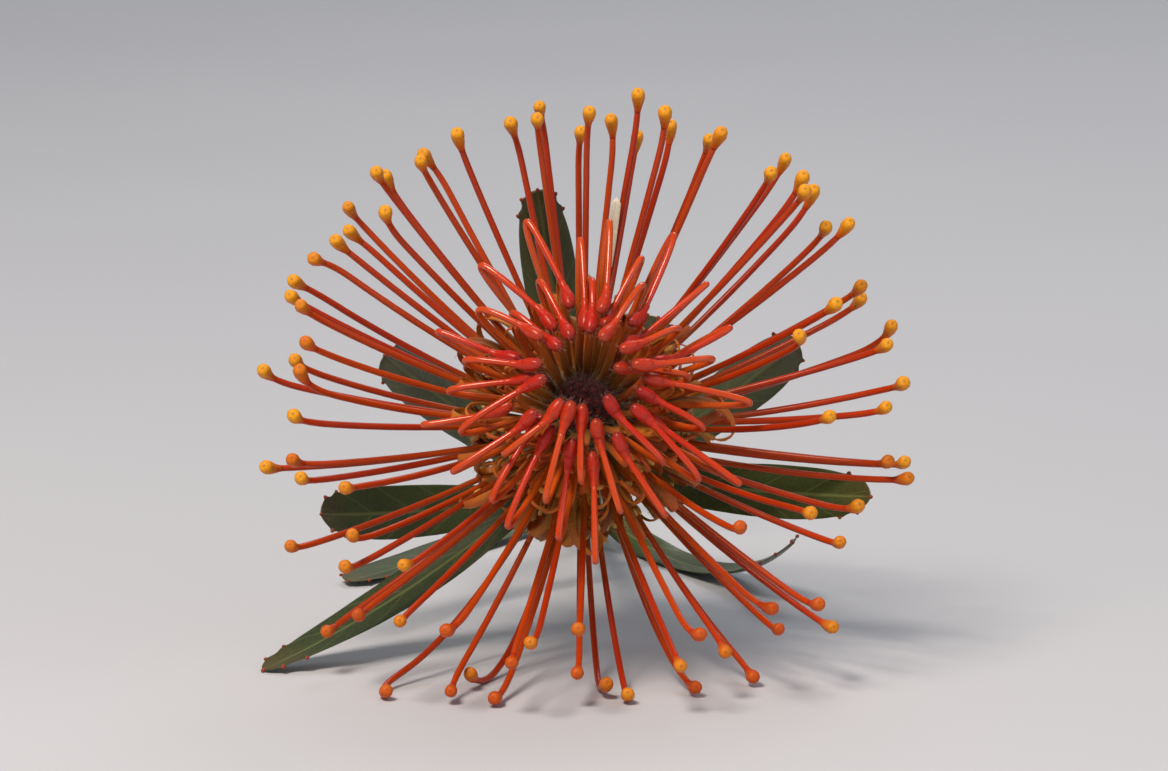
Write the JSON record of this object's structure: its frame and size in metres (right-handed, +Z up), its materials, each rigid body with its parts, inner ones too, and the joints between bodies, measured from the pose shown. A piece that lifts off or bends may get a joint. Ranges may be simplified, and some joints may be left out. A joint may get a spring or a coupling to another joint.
{
  "type": "pincushion protea flower",
  "caption": "Cut pincushion protea flower lying on its side: a head of wiry styles with pollen knobs and looped inner florets, on a short leafy stem.",
  "frame": {"origin": "middle of the bounding box's underside, on the surface that the flower lies on", "axes": "-Y is the side that the flower faces, +Y runs along the stem to its cut end, +X is to the right of the face, +Z is up"},
  "size_m": [0.122, 0.241, 0.1073],
  "materials": {
    "floret": "waxy, glossy orange-red styles with yellow-orange knobs",
    "buds": "woolly, dull purple-brown",
    "bracts": "downy, dull, green-brown with reddish tips",
    "stem": "downy green-brown bark, pale cut end",
    "leaf": "leathery dark green, satin, with a paler midrib"
  },
  "bodies": {
    "root": {"floret_01": "floret", "floret_02": "floret", "floret_03": "floret", "floret_04": "floret", "floret_05": "floret", "floret_06": "floret", "floret_07": "floret", "floret_08": "floret", "floret_09": "floret", "floret_10": "floret", "floret_11": "floret", "floret_12": "floret", "floret_13": "floret", "floret_14": "floret", "floret_15": "floret", "floret_16": "floret", "floret_17": "floret", "floret_18": "floret", "floret_19": "floret", "floret_20": "floret", "floret_21": "floret", "floret_22": "floret", "floret_23": "floret", "floret_24": "floret", "floret_25": "floret", "floret_26": "floret", "floret_27": "floret", "floret_28": "floret", "floret_29": "floret", "floret_30": "floret", "floret_31": "floret", "floret_32": "floret", "floret_33": "floret", "floret_34": "floret", "floret_row_01": "floret", "floret_row_02": "floret", "floret_row_03": "floret", "floret_row_04": "floret", "floret_row_05": "floret", "floret_row_06": "floret", "floret_row_07": "floret", "floret_row_08": "floret", "floret_row_09": "floret", "floret_row_10": "floret", "floret_row_11": "floret", "floret_row_12": "floret", "floret_row_13": "floret", "centre_buds": "buds", "upper_bracts": "bracts", "lower_bracts": "bracts", "stem": "stem", "leaf_01": "leaf", "leaf_02": "leaf", "leaf_03": "leaf", "leaf_04": "leaf", "leaf_05": "leaf", "leaf_06": "leaf", "leaf_07": "leaf", "leaf_08": "leaf", "leaf_09": "leaf"}
  },
  "joints": []
}
